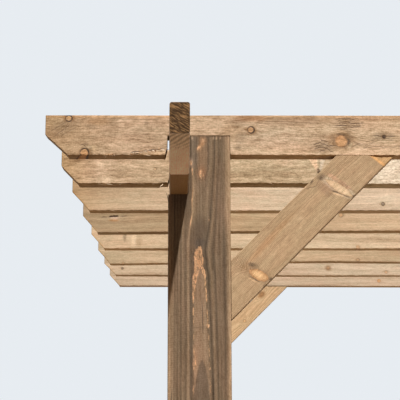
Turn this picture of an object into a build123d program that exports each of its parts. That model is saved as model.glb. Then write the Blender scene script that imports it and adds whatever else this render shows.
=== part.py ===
"""An open timber pergola: four posts, two beams along its sides, rafters across them and knee braces.

The origin is on the ground at the middle of the plan. X runs across the pergola, along the rafters,
Y runs from the front to the rear, along the beams, and Z is up. Sizes are in millimetres.
"""
import os

from build123d import *

# Plan and height of the frame, over the outer faces of the posts
frame_width = 2400.0
frame_length = 2400.0
post_height = 2400.0

# Timber sections, as sawn
post_size = 150.0
beam_thickness = 45.0
beam_depth = 145.0
rafter_thickness = 45.0
rafter_depth = 100.0
brace_thickness = 45.0
brace_depth = 100.0
post_arris = 4.0
timber_arris = 2.5
beam_top_arris = 5.0

# Post heads: the beam lies in a housing on the outer side, against a standing tongue
beam_setback = 3.0

# Beams: how far they run past the posts, and the splay under each end
beam_overhang = 285.0
beam_splay_run = 83.0
beam_splay_drop = 74.0

# Rafters: number, overhang past the posts, splay under each end
rafter_count = 8
rafter_overhang = 300.0
rafter_splay_run = 61.0
rafter_splay_drop = 50.0

# Notches in the rafters: depth, play on the outer side of the beam, fit on the inner side,
# and the slant of the lower part of the outer side, which lets the rafter drop on
notch_depth = 48.0
notch_play = 6.0
notch_fit = 1.0
notch_flare = 5.0
notch_flare_height = 22.0

# Braces at 45 degrees: legs along the lower edge, measured from the corner they brace
front_brace_leg = 400.0
rear_brace_leg = 335.0

# The corner split off the front face of the front left brace, at the toe of its upper cut
chip_width = 64.0
chip_height = 29.0
chip_depth = 3.0

post_x = frame_width / 2
post_y = frame_length / 2
beam_outer_x = post_x - beam_setback
beam_inner_x = beam_outer_x - beam_thickness
post_inner_x = post_x - post_size
post_inner_y = post_y - post_size
shoulder_height = post_height - beam_depth
rafter_underside = post_height - notch_depth
rafter_half_length = post_x + rafter_overhang
beam_half_length = post_y + beam_overhang
rafter_pitch = (frame_length - rafter_thickness) / (rafter_count - 1)

os.makedirs("parts", exist_ok=True)


def save(piece, name):
    """Label one finished piece and write it under its own name."""
    piece.label = name
    export_step(piece, f"parts/{name}.step")


def post(side_x, side_y):
    """A square post whose head is cut back on the outer side, which leaves a shoulder and a tongue."""
    center = (side_x * (post_x - post_size / 2), side_y * (post_y - post_size / 2))
    housing_width = post_x - beam_inner_x
    housing_center = (side_x * (post_x - housing_width / 2), center[1])
    with BuildPart() as timber:
        with BuildSketch(Plane.XY):
            with Locations(center):
                RectangleRounded(post_size, post_size, post_arris)
        extrude(amount=post_height)
        with BuildSketch(Plane.XY.offset(shoulder_height)):
            with Locations(housing_center):
                Rectangle(housing_width, post_size)
        extrude(amount=beam_depth, mode=Mode.SUBTRACT)
    return timber.part


def splayed_corners(half_length, bottom, top, splay_run, splay_drop):
    """Give the corners of the side view of a timber whose two ends are splayed underneath."""
    return [
        (-half_length + splay_run, bottom),
        (half_length - splay_run, bottom),
        (half_length, bottom + splay_drop),
        (half_length, top),
        (-half_length, top),
        (-half_length, bottom + splay_drop),
    ]


def ease_long_edges(timber, axis, under_radius, top_radius):
    """Round the arrises that run along the underside and the top of a timber."""
    fillet(timber.edges().filter_by(axis).group_by(Axis.Z)[0], under_radius)
    fillet(timber.edges().filter_by(axis).group_by(Axis.Z)[-1], top_radius)


def beam(side_x):
    """A side beam on edge, seated in the housings of its two posts."""
    side_view = splayed_corners(
        beam_half_length, shoulder_height, post_height, beam_splay_run, beam_splay_drop
    )
    with BuildPart() as timber:
        with BuildSketch(Plane.YZ.offset(side_x * (beam_outer_x - beam_thickness / 2))):
            with BuildLine():
                Polyline(*side_view, close=True)
            make_face()
        extrude(amount=beam_thickness / 2, both=True)
        ease_long_edges(timber, Axis.Y, timber_arris, beam_top_arris)
    return timber.part


def notch_corners(side_x, inner_x):
    """Give the corners of the notch over one beam, from its inner side out to the slanted one."""
    outer_x = beam_outer_x + notch_play
    return [
        (side_x * inner_x, rafter_underside),
        (side_x * (outer_x + notch_flare), rafter_underside),
        (side_x * outer_x, rafter_underside + notch_flare_height),
        (side_x * outer_x, post_height),
        (side_x * inner_x, post_height),
    ]


def rafter(center_y, over_posts):
    """A rafter on edge, notched over both beams, and over the tongues too where it tops the posts."""
    inner_side = (post_inner_x if over_posts else beam_inner_x) - notch_fit
    middle_plane = Plane.XZ.offset(-center_y)
    rafter_top = rafter_underside + rafter_depth
    side_view = splayed_corners(
        rafter_half_length, rafter_underside, rafter_top, rafter_splay_run, rafter_splay_drop
    )
    with BuildPart() as timber:
        with BuildSketch(middle_plane):
            with BuildLine():
                Polyline(*side_view, close=True)
            make_face()
        extrude(amount=rafter_thickness / 2, both=True)
        for side_x in (-1, 1):
            with BuildSketch(middle_plane):
                with BuildLine():
                    Polyline(*notch_corners(side_x, inner_side), close=True)
                make_face()
            extrude(amount=rafter_thickness / 2, both=True, mode=Mode.SUBTRACT)
        ease_long_edges(timber, Axis.X, timber_arris, timber_arris)
    return timber.part


def brace(plane, post_face, top, side, leg, chipped=False):
    """A knee brace: an upright cut against its post and a level cut under the timber that it holds.

    The plane runs through the middle of its thickness. Post face and top are where the two cuts lie.
    """
    upper_leg = leg - brace_depth * 2 ** 0.5
    with BuildPart() as timber:
        with BuildSketch(plane):
            with BuildLine():
                Polyline(
                    (side * post_face, top - leg),
                    (side * (post_face - leg), top),
                    (side * (post_face - upper_leg), top),
                    (side * post_face, top - upper_leg),
                    close=True,
                )
            make_face()
        extrude(amount=brace_thickness / 2, both=True)
        if chipped:
            toe = side * (post_face - leg)
            with BuildSketch(plane.offset(brace_thickness / 2)):
                with BuildLine():
                    Polyline(
                        (toe, top),
                        (toe + side * chip_width, top),
                        (toe + side * chip_height, top - chip_height),
                        close=True,
                    )
                make_face()
            extrude(amount=-chip_depth, mode=Mode.SUBTRACT)
    return timber.part


for side_y, row in ((-1, "front"), (1, "rear")):
    for side_x, hand in ((-1, "left"), (1, "right")):
        save(post(side_x, side_y), f"post_{row}_{hand}")

for side_x, hand in ((-1, "left"), (1, "right")):
    save(beam(side_x), f"beam_{hand}")

for number in range(rafter_count):
    center_y = -post_y + rafter_thickness / 2 + number * rafter_pitch
    over_posts = number in (0, rafter_count - 1)
    save(rafter(center_y, over_posts), f"rafter_{number + 1}")

for side_y, row, leg in ((-1, "front", front_brace_leg), (1, "rear", rear_brace_leg)):
    for side_x, hand in ((-1, "left"), (1, "right")):
        rafter_plane = Plane.XZ.offset(-side_y * (post_y - rafter_thickness / 2))
        chipped = row == "front" and hand == "left"
        under_rafter = brace(rafter_plane, post_inner_x, rafter_underside, side_x, leg, chipped)
        save(under_rafter, f"rafter_brace_{row}_{hand}")
        beam_plane = Plane.YZ.offset(side_x * (beam_outer_x - beam_thickness / 2))
        under_beam = brace(beam_plane, post_inner_y, shoulder_height, side_y, leg)
        save(under_beam, f"beam_brace_{row}_{hand}")
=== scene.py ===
"""Looks of an open timber pergola: weathered posts, brown beams, pale sawn rafters and knee braces.

Every timber of the frame is dressed with a skin of its own: a section carried along the timber, with eased
arrises, splays, notches and a slight bow. Points on a skin carry what the wood finishes read: their place in
the log, the nearest knot, the cut faces, the marks and the tone. Screw heads and splinters are small meshes
of their own. Lengths are in metres, but places and sizes of marks in tables are in mm.
"""
from itertools import product
from types import SimpleNamespace

import bpy
import numpy as np
from mathutils import Matrix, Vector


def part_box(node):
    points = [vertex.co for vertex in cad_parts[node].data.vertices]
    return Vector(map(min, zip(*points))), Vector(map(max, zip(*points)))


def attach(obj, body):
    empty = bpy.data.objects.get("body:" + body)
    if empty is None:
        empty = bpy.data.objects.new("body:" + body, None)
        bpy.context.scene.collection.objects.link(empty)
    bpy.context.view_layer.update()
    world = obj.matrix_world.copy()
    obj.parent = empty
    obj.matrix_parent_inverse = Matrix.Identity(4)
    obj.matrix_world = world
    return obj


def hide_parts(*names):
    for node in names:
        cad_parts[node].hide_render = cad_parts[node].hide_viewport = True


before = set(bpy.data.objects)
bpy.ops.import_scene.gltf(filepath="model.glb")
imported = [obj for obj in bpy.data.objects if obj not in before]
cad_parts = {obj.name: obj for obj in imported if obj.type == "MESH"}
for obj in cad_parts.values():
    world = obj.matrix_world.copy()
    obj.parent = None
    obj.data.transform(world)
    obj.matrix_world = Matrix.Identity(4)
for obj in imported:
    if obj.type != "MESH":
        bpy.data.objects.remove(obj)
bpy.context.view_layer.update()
MM = 0.001
DIAGONAL = 2.0**0.5


# Sizes of the frame, read from its nodes
def node_box(name):
    """Lowest and highest corner of a node, as arrays."""
    low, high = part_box(name)
    return np.array(low), np.array(high)


POST_LOW, POST_HIGH = node_box("post_front_left")
BEAM_LOW, BEAM_HIGH = node_box("beam_left")
RAFTER_LOW, RAFTER_HIGH = node_box("rafter_1")
POST_SIZE = POST_HIGH[1] - POST_LOW[1]
POST_TOP = POST_HIGH[2]
POST_OUTER = -POST_LOW[1]
POST_INNER = -POST_HIGH[0]
BEAM_THICKNESS = BEAM_HIGH[0] - BEAM_LOW[0]
BEAM_DEPTH = BEAM_HIGH[2] - BEAM_LOW[2]
BEAM_OUTER = -BEAM_LOW[0]
BEAM_INNER = -BEAM_HIGH[0]
BEAM_HALF = BEAM_HIGH[1]
SHOULDER = BEAM_LOW[2]
HOUSING = -POST_LOW[0] - BEAM_INNER
RAFTER_THICKNESS = RAFTER_HIGH[1] - RAFTER_LOW[1]
RAFTER_DEPTH = RAFTER_HIGH[2] - RAFTER_LOW[2]
RAFTER_FOOT = RAFTER_LOW[2]
RAFTER_HALF = RAFTER_HIGH[0]
RAFTER_COUNT = sum(name.startswith("rafter_") and "brace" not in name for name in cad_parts)
BRACES = sorted(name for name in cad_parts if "brace" in name)
ROWS = ((-1, "front"), (1, "rear"))
HANDS = ((-1, "left"), (1, "right"))
CORNERS = [(x, y, f"{row}_{hand}") for (y, row), (x, hand) in product(ROWS, HANDS)]

# Joints of the timbers, as the frame has them: runs and drops of the splays, and the notches
BEAM_SPLAY = (83 * MM, 74 * MM)
NOTCH_DEPTH = POST_TOP - RAFTER_FOOT
NOTCH_PLAY = 6 * MM
NOTCH_FIT = 0.2 * MM
NOTCH_FLARE = (5 * MM, 22 * MM)
BRACE_DEPTH = 100 * MM
BRACE_THICKNESS = 45 * MM
CHIP = (64 * MM, 29 * MM, 3 * MM)

# Edges of the skins: rounding of the long arrises, easing of the sawn ends, width of an upright step, how
# far from an end a splay may reach, the highest foot that still belongs to the plain lower edge, and the
# angle from which an edge is sharp
RAFTER_ARRIS = 1.4 * MM
BEAM_ARRIS = 5.0 * MM
POST_ARRIS = 3.0 * MM
BRACE_ARRIS = 1.5 * MM
END_EASE = 0.8 * MM
STEP_WIDTH = 0.4 * MM
SPLAY_REACH = 90 * MM
LEVEL_FOOT = 0.1 * MM
SHARP_DEG = 32.0
ARRIS_STEPS = np.array([0.0, 0.35, 0.68, 1.0])

# How far knots reach in their radii and drawn lines in metres, and where both begin to fade
KNOT_NEAR, KNOT_FAR = 4.0, 6.0
LINE_NEAR, LINE_FAR = 5 * MM, 9 * MM
OUT_OF_REACH = 1e3

# What points carry where no knot, cut, mark or drawn line is near
CLEAR_OF_KNOTS = 9.0
PLAIN_FIELDS = {
    "knot": (0.0, 0.0, CLEAR_OF_KNOTS),
    "look": (10 * MM, 0.0, 0.0),
    "cut": (0.0, 0.0, 0.0),
    "marks": (0.0, 0.0, 0.0),
    "line": (20 * MM, 0.0, 1 * MM),
}
FIGURE, HEART, DARK = range(3)

# The camera: a long lens below the roof, looking up at the front left corner
CAMERA_AT = (-1.1500, -3.9205, 1.6614)
CAMERA_UP_DEG = 12.021
CAMERA_RIGHT_DEG = 0.559
CAMERA_ROLL_DEG = -0.096
LENS_MM = 104.1
SENSOR_MM = 36.0

# The key lamp shines down, back and a little to the left. The sky fills the shade, least from the front
KEY_TRAVEL = (-0.27, 1.0, -1.6)
KEY_STRENGTH = 5.03
KEY_TINT = (0.985, 1.0, 1.015)
KEY_SPREAD_DEG = 1.5
SKY_STRENGTH = 0.55
SKY_IN_FRONT = 0.03
SKY_TURNS = (-0.35, 0.35)
SKY_TINT = (0.95, 0.98, 1.0, 1.0)
BACKDROP = (0.80, 0.84, 0.88, 1.0)
FLOOR_SEEN = (0.46, 0.46, 0.455, 1.0)
FLOOR_BOUNCE = (0.20, 0.14, 0.092, 1.0)
FLOOR_HALF = 14.0
FLOOR_FADE = (5.0, 13.0)


def smooth(value, low, high):
    """0 up to low, 1 from high on and a smooth rise between them; low may be the larger one."""
    part = np.clip((value - low) / (high - low), 0.0, 1.0)
    return part * part * (3.0 - 2.0 * part)


def wander(place, wavelength, seed):
    """A wavy line, mostly between -1 and 1: five sines of random length and phase, added up."""
    random = np.random.default_rng(seed)
    lengths = wavelength * random.uniform(0.5, 1.6, 5)
    phases = random.uniform(0.0, 2.0 * np.pi, 5)
    return np.sin(2.0 * np.pi * np.asarray(place)[..., None] / lengths + phases).sum(axis=-1) / 3.0


def bump_at(value, middle, width):
    """A bell curve of height 1 about the middle."""
    return np.exp(-(((value - middle) / width) ** 2))


def unit(vectors):
    """Vectors of length 1."""
    return vectors / np.linalg.norm(vectors, axis=-1, keepdims=True)


# Skins of the timbers
def side_places(arris, inner):
    """Weights and offsets of the points on one side: four in each rounded arris, the others between."""
    near = arris * ARRIS_STEPS
    part = np.linspace(0.0, 1.0, inner + 2)[1:-1]
    weights = np.concatenate([np.zeros(len(near)), part, np.ones(len(near))])
    return weights, np.concatenate([near, arris * (1.0 - 2.0 * part), -near[::-1]])


def ring_indices(count_out, count_up):
    """Grid indices once round a section: under it, up its far side, back over it, down its near side."""
    under, rise = np.arange(count_out), np.arange(1, count_up)
    back, fall = under[-2::-1], rise[-2::-1]
    index_out = np.concatenate([under, 0 * rise + count_out - 1, back, 0 * fall])
    index_up = np.concatenate([0 * under, rise, 0 * back + count_up - 1, fall])
    return index_out, index_up


def tube_faces(number):
    """Four-sided faces between closed rings of points: their numbers have a row for each ring."""
    turned = np.roll(number, -1, axis=-1)
    corners = [number[..., :-1, :], turned[..., :-1, :], turned[..., 1:, :], number[..., 1:, :]]
    return np.stack(corners, axis=-1).reshape(-1, 4)


def station_rows(breaks, coarse, fine=None, stretch=(0.0, 0.0)):
    """Rows of stations through the breaks, a coarse step apart, or a fine one within a stretch.

    A break has its places on the lower and the upper edge and its foot. One of a timber cut square has its
    place and its foot.
    """
    breaks = np.array([(*row[:1], *row) if len(row) == 2 else row for row in breaks], float)
    rows = []
    for first, last in zip(breaks[:-1], breaks[1:]):
        middle = (first[0] + last[0]) / 2.0
        step = fine if fine and stretch[0] < middle < stretch[1] else coarse
        count = max(1, int(np.ceil((last[0] - first[0]) / step)))
        rows.append(first + (last - first) * np.arange(count)[:, None] / count)
    return np.concatenate(rows + [breaks[-1:]])


def both_ends(places, length):
    """Places and feet of one end, followed by the same ones mirrored at the other end."""
    return places + [(length - place, foot) for place, foot in reversed(places)]


class Timber:
    """One timber on its way to becoming a mesh.

    Its points are three arrays: along the timber, out across its thickness from its front or outer face, and
    up across its depth from its lower edge. The section at each station is a rectangle from the foot to the
    full depth, with round arrises. Its square corners are pushed onto the rounding: each point goes to the
    arris radius from the nearest point of the rectangle that lies one radius inside. A point's place along
    the timber lies between its station's places on the lower and the upper edge, by its height.
    """

    def __init__(self, node, slot, origin, axes, size, rows, arris, inner, seed, pith):
        self.node = node
        self.slot = slot
        self.finish = slot
        self.origin = np.array(origin)
        self.axes = np.array(axes, float)
        self.thickness, self.depth = size
        self.seed = seed
        self.pith = tuple(place * MM for place in pith)
        lower, upper, foot = rows.T
        weight_out, offset_out = side_places(arris, inner[0])
        weight_up, offset_up = side_places(arris, inner[1])
        grid_out = self.thickness * weight_out + offset_out
        grid_up = foot[:, None] + (self.depth - foot)[:, None] * weight_up + offset_up
        index_out, index_up = ring_indices(len(grid_out), len(weight_up))
        count, ring = len(rows), len(index_out)
        out = np.repeat(grid_out[index_out][None], count, axis=0)
        up = grid_up[:, index_up]
        middle_out = np.clip(out, arris, self.thickness - arris)
        middle_up = np.clip(up, foot[:, None] + arris, self.depth - arris)
        turn = np.hypot(out - middle_out, up - middle_up)
        out = middle_out + (out - middle_out) * arris / turn
        up = middle_up + (up - middle_up) * arris / turn

        # The caps share the points of the first and the last ring and add a grid inside it
        caps = [np.meshgrid(grid_out[1:-1], grid_up[end, 1:-1], indexing="ij") for end in (0, -1)]
        inside = caps[0][0].size
        self.out, self.up = (
            np.concatenate([ring_part.ravel()] + [cap[part].ravel() for cap in caps])
            for part, ring_part in enumerate((out, up))
        )
        station = np.repeat(np.arange(count), ring)
        station = np.concatenate([station, np.zeros(inside, int), np.full(inside, count - 1)])
        self.foot = foot[station]
        self.on_end = (station == 0) | (station == count - 1)
        self.length = max(lower.max(), upper.max())

        # Both end sections are drawn in by the easing of the sawn end
        middle = (self.depth + self.foot) / 2.0
        half = self.thickness / 2.0
        shrink_up = 1.0 - 2.0 * END_EASE / (self.depth - self.foot)
        self.out = np.where(self.on_end, half + (self.out - half) * (1.0 - END_EASE / half), self.out)
        self.up = np.where(self.on_end, middle + (self.up - middle) * shrink_up, self.up)
        self.along = lower[station] + (upper - lower)[station] * self.up / self.depth
        self.moved = np.stack([self.along, self.out, self.up])

        number = np.arange(count * ring).reshape(count, ring)
        faces = [tube_faces(number)]
        for end, first in ((0, count * ring), (count - 1, count * ring + inside)):
            grid = np.empty((len(grid_out), len(weight_up)), int)
            grid[index_out, index_up] = number[end]
            grid[1:-1, 1:-1] = first + np.arange(inside).reshape(len(grid_out) - 2, -1)
            corners = [grid[:-1, :-1], grid[:-1, 1:], grid[1:, 1:], grid[1:, :-1]]
            faces.append(np.stack(corners[::-1] if end else corners, axis=-1).reshape(-1, 4))
        self.faces = np.concatenate(faces)
        if np.linalg.det(self.axes) < 0.0:
            self.faces = self.faces[:, ::-1]

        # What the finishes read, filled in by the functions below
        self.fields = {name: np.tile(value, (len(self.along), 1)) for name, value in PLAIN_FIELDS.items()}
        self.marks = self.fields["marks"]
        self.tone = np.ones((len(self.along), 3))
        self.knots = []
        self.lenses = []
        self.cut = self.on_end * 1.0
        self.front = smooth(self.out, 3 * MM, 1 * MM)

    def paint(self, *stops):
        """Give the timber its tone: places along it, each with a colour, and a smooth change between them."""
        places, *channels = np.array(stops).T
        self.tone = np.stack([np.interp(self.along, places, channel) for channel in channels], axis=1)

    def tint(self, weight, shade):
        """Multiply the tone by a shade where the weight is 1."""
        self.tone *= 1.0 + weight[:, None] * (np.array(shade) - 1.0)

    def cover(self, weight, shade):
        """Put a shade in place of the tone where the weight is 1."""
        self.tone += weight[:, None] * (np.array(shade) - self.tone)

    def mark(self, kind, weight):
        """Strengthen one of the marks, which are the figure of the grain, heartwood and dark soil."""
        self.marks[:, kind] = np.maximum(self.marks[:, kind], weight)

    def paint_light_under_and_top(self, under, over):
        """Tint the underside with painted shade and bounce light, and the top greyer: greyed by sun and rain,
        and darkened to temper the lamp on it.
        """
        self.tint(smooth(self.up - self.foot, 1.2 * MM, 0.3 * MM) * ~self.on_end, under)
        self.tint(smooth(self.up, self.depth - 1.6 * MM, self.depth - 0.3 * MM) * ~self.on_end, over)

    def turned(self, place, height, turn_deg):
        """Places of the points along and across a line that is turned about a point, which is given in mm."""
        turn = np.radians(turn_deg)
        run, rise = self.along - place * MM, self.up - height * MM
        return run * np.cos(turn) + rise * np.sin(turn), rise * np.cos(turn) - run * np.sin(turn)

    def patch(self, place, height, half_run, half_rise, turn_deg):
        """Weight of a rounded patch on the front face, in mm: 1 inside, 0.5 on its ellipse, 0 outside."""
        run, rise = self.turned(place, height, turn_deg)
        reach = np.hypot(run / (half_run * MM), rise / (half_rise * MM))
        return self.front * np.clip(0.5 + 1.3 * (1.0 - reach), 0.0, 1.0)

    def mark_patches(self, kind, *patches):
        """Mark patches of the front face, each with its middle, half sizes, turn and level."""
        for *place, level in patches:
            self.mark(kind, level * self.patch(*place))

    def tint_patches(self, *patches):
        """Tint patches of the front face, each with its middle, half sizes, turn and shade."""
        for *place, red, green, blue in patches:
            self.tint(self.patch(*place), (red, green, blue))

    def draw(self, *lines):
        """Draw thin dark lines on the front face, each with its width, strength, fade and points, in mm.

        The field holds the signed height over the line, so that its zero stays sharp between mesh points,
        and a strength that fades over both ends and away from the line.
        """
        field = self.fields["line"]
        for width, strength, fade, *points in lines:
            places, heights = np.array(points, float).T * MM
            away = self.up - np.interp(self.along, places, heights)
            ends = smooth(self.along, places[0], places[0] + fade * MM)
            ends = ends * smooth(self.along, places[-1], places[-1] - fade * MM)
            level = strength * ends * smooth(np.abs(away), LINE_FAR, LINE_NEAR) * self.front
            stronger = level > field[:, 1]
            field[stronger] = np.stack([away, level, 0.0 * away + width * MM], axis=1)[stronger]

    def lift(self, places, lifts):
        """Raise the lower edge by the lifts at the places, and nothing at the top or in a notch."""
        share = 1.0 - (self.up - self.foot) / (self.depth - self.foot)
        free = np.clip(1.0 - self.foot / NOTCH_DEPTH, 0.0, 1.0)
        self.moved[2] += np.interp(self.along, places, lifts) * share * free

    def tear(self, most, wavelength, worn):
        """Raise and lower the lower front arris unevenly, where the saw tore the grain and left a burr.

        Worn is how far the arris is rubbed away as a whole.
        """
        level = self.foot < LEVEL_FOOT
        self.moved[2] += worn * bump_at(self.out, 0.0, 7 * MM) * bump_at(self.up, 0.0, 8 * MM) * level
        near = bump_at(self.out, 0.0, 2.5 * MM) * bump_at(self.up, 0.0, 3 * MM) * level
        ragged = wander(self.along, wavelength, self.seed + 1) + 0.25
        ragged = ragged + 0.8 * wander(self.along, wavelength * 0.3, self.seed + 2)
        amount = most * np.clip(ragged, -0.8, 1.0) * near
        self.moved[2] -= amount
        self.moved[1] += 0.3 * np.abs(amount)

    def cut_under(self, reach):
        """Whether a point is on a splay or in a notch, no further up than the reach."""
        return (self.foot > LEVEL_FOOT) & (self.up < self.foot + reach) & ~self.on_end

    def at_ends(self):
        """Whether a point is near either end."""
        return np.minimum(self.along, self.length - self.along) < SPLAY_REACH

    def skew(self, amount):
        """Cut the splays out of square: their far edges are higher than their front ones by the amount."""
        share = (self.depth - self.up) / (self.depth - self.foot) * np.clip(self.foot / (6 * MM), 0.0, 1.0)
        self.moved[2] += amount * self.at_ends() * share * self.out / self.thickness

    def knot_fields(self):
        """Place of each point beside its nearest knot in knot radii, and that knot's radius, bark and core.

        A knot is a branch that grows straight out from the pith, or from a start of its own, to its target.
        A point has a distance along the branch, a distance across it and a distance along the log, and the
        branch thickens outwards. A knot cut lengthwise is a lens on the front face: with u and v the places
        along and across it in its half sizes, its place is the fourth power of u and v over 1 less u
        squared, which gives it two points. Far from a knot the place turns to one that is clear.
        """
        found = []
        for place, target, radius, look, lean, start in self.knots:
            start = start or self.pith
            run_out, run_up = np.subtract(target, start)
            reach = np.hypot(run_out, run_up)
            run_out, run_up = run_out / reach, run_up / reach
            outwards = (self.out - start[0]) * run_out + (self.up - start[1]) * run_up
            across = (self.up - start[1]) * run_out - (self.out - start[0]) * run_up
            beside = self.along - place - lean * (outwards - reach)
            size = radius * np.clip(0.35 + 0.65 * outwards / reach, 0.3, 1.4)
            found.append((beside / size, np.where(outwards > 0.0, across / size, OUT_OF_REACH), size, look))
        for place, height, half_run, half_rise, turn_deg, look, pointed in self.lenses:
            run, rise = self.turned(place, height, turn_deg)
            part = np.clip(np.abs(run) / (half_run * MM), 0.0, 2.5)
            across = rise / (half_rise * MM)
            if pointed:
                across = across / (1.0 - np.clip(part, 0.0, 0.96) ** 2)
                part = part**4
            across = np.where(self.out < 2 * MM, across, OUT_OF_REACH)
            found.append((part, across, np.full(len(part), half_rise * MM), look))
        nearest = np.full(len(self.along), KNOT_FAR)
        for beside, across, size, look in found:
            spread = np.hypot(beside, across)
            near = smooth(spread, KNOT_FAR, KNOT_NEAR)
            closer = spread < nearest
            place = np.stack([beside * near, across * near, CLEAR_OF_KNOTS * (1.0 - near)], axis=1)
            self.fields["knot"][closer] = place[closer]
            self.fields["look"][closer, 0] = size[closer]
            self.fields["look"][closer, 1:] = look
            nearest = np.minimum(nearest, spread)

    def grain_field(self):
        """Place of each point in its log: along it, and out and up from a pith that wanders a little."""
        drift_out = 5 * MM * wander(self.along, 1.1, self.seed + 4)
        drift_up = 7 * MM * wander(self.along, 1.3, self.seed + 5)
        out = self.out - self.pith[0] - drift_out
        up = self.up - self.pith[1] - drift_up
        return np.stack([self.along + 3.7 * (self.seed % 23), out, up], axis=1)

    def cut_field(self):
        """How much of a cut face a point is on, and its place across the saw's streaks."""
        streak = 0.55 * self.out + 0.83 * self.up - 1.5 * (self.out - self.thickness / 2.0) ** 2
        return np.stack([self.cut, streak, 0.0 * streak], axis=1)

    def build(self):
        """Make the mesh with its fields, put it in the place of its node and finish it."""
        self.knot_fields()
        self.fields.update(grain=self.grain_field(), cut=self.cut_field(), tone=self.tone)
        points = self.origin + self.moved.T @ self.axes
        piece = mesh_piece(f"{self.node}_skin", points, self.faces, self.fields, FINISHES[self.finish])
        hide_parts(self.node)
        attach(piece, "root")


def mesh_piece(name, points, faces, fields, finish):
    """Make an object from an array of points, an array of four-sided faces and its point fields."""
    mesh = bpy.data.meshes.new(name)
    mesh.vertices.add(len(points))
    mesh.vertices.foreach_set("co", np.asarray(points, np.float32).ravel())
    mesh.loops.add(faces.size)
    mesh.loops.foreach_set("vertex_index", np.asarray(faces, np.int32).ravel())
    mesh.polygons.add(len(faces))
    mesh.polygons.foreach_set("loop_start", np.arange(0, faces.size, 4, dtype=np.int32))
    mesh.update(calc_edges=True)
    mesh.validate()
    for field, values in fields.items():
        layer = mesh.attributes.new(field, "FLOAT_VECTOR", "POINT")
        layer.data.foreach_set("vector", np.asarray(values, np.float32).ravel())
    mesh.shade_smooth()
    mesh.set_sharp_from_angle(angle=np.radians(SHARP_DEG))
    mesh.materials.append(finish)
    piece = bpy.data.objects.new(name, mesh)
    bpy.context.scene.collection.objects.link(piece)
    return piece


def small_piece(name, points, faces, fields, slot):
    """Make a piece that stands for no node of the frame."""
    piece = mesh_piece(name, points, faces, fields, FINISHES[slot])
    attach(piece, "root")


# Finishes
class Finish:
    """A short way to write a material: each call adds one node and gives back one of its outputs."""

    def __init__(self, owner):
        self.owner = owner
        owner.use_nodes = True
        self.tree = owner.node_tree
        self.tree.nodes.clear()

    def node(self, kind, inputs, out=0, **settings):
        made = self.tree.nodes.new(kind)
        for key, value in settings.items():
            setattr(made, key, value)
        for socket, value in inputs.items():
            if isinstance(value, bpy.types.NodeSocket):
                self.tree.links.new(value, made.inputs[socket])
            else:
                made.inputs[socket].default_value = value
        return made.outputs[out]

    def math(self, operation, *values, clamp=False):
        return self.node("ShaderNodeMath", dict(enumerate(values)), operation=operation, use_clamp=clamp)

    def minus(self, first, second):
        return self.math("SUBTRACT", first, second)

    def times(self, first, second, clamp=False):
        return self.math("MULTIPLY", first, second, clamp=clamp)

    def scaled(self, value, factor, base, clamp=False):
        """The value times the factor, plus the base."""
        return self.math("MULTIPLY_ADD", value, factor, base, clamp=clamp)

    def wave(self, noise, amount, base):
        """The base plus the noise, which lies between 0 and 1, spread evenly about zero by the amount."""
        return self.scaled(self.minus(noise, 0.5), amount, base)

    def stretched(self, vector, scale):
        return self.node("ShaderNodeVectorMath", {0: vector, 1: scale}, operation="MULTIPLY")

    def length(self, vector, scale=(1.0, 1.0, 1.0)):
        """Length of a vector whose parts are scaled first."""
        scaled = self.stretched(vector, scale)
        return self.node("ShaderNodeVectorMath", {0: scaled}, "Value", operation="LENGTH")

    def split(self, vector):
        """The three parts of a vector."""
        return tuple(self.node("ShaderNodeSeparateXYZ", {0: vector}).node.outputs)

    def field(self, name):
        """The three values of a point field, whole and in parts."""
        vector = self.node("ShaderNodeAttribute", {}, "Vector", attribute_name=name)
        return vector, *self.split(vector)

    def noise(self, vector, along, across, detail=2.0, rough=0.5):
        """Noise between 0 and 1, with so many turns a metre along the timber and across it."""
        vector = self.stretched(vector, (along, across, across))
        inputs = {"Vector": vector, "Scale": 1.0, "Detail": detail, "Roughness": rough}
        return self.node("ShaderNodeTexNoise", inputs)

    def step(self, value, low, high):
        """0 up to low, 1 from high on and a smooth rise between them; low may be the larger one."""
        inputs = {0: value, 1: low, 2: high}
        return self.node("ShaderNodeMapRange", inputs, interpolation_type="SMOOTHSTEP")

    def mix(self, amount, first, second, blend="MIX"):
        inputs = {0: amount, 6: first, 7: second}
        return self.node("ShaderNodeMix", inputs, 2, data_type="RGBA", blend_type=blend)

    def seen_directly(self):
        """1 for what the camera, glossy and transmitted rays meet, and 0 for soft light."""
        paths = self.node("ShaderNodeLightPath", {}).node.outputs
        either = self.math("MAXIMUM", paths["Is Camera Ray"], paths["Is Glossy Ray"])
        return self.math("MAXIMUM", either, paths["Is Transmission Ray"])

    def finish(self, shader, output="ShaderNodeOutputMaterial"):
        self.tree.links.new(shader, self.tree.nodes.new(output).inputs[0])
        return self.owner


def colour(red, green, blue):
    return (red, green, blue, 1.0)


def growth_rings(f, grain, swelling, look):
    """How much late wood shows, from 0 to 1.

    Rings are steps of the distance from the pith, which noise bends and knots push aside. Late wood rises
    slowly through each ring and ends at once, and no two years are alike.
    """
    reach = f.length(grain, (0.0, 1.0, 1.0))
    reach = f.scaled(f.noise(grain, 1.6, 9.0), look.sway, reach)
    reach = f.scaled(f.noise(grain, 12.0, 50.0), look.ripple, reach)
    rings = f.math("DIVIDE", f.minus(reach, swelling), look.ring)
    year = f.math("FRACT", rings)
    late = f.times(f.step(year, 0.25, 0.9), f.step(year, 1.0, 0.92))
    every_year = f.node("ShaderNodeTexWhiteNoise", {"W": f.math("FLOOR", rings)}, noise_dimensions="1D")
    return f.times(late, f.scaled(every_year, 0.9, 0.3))


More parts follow.
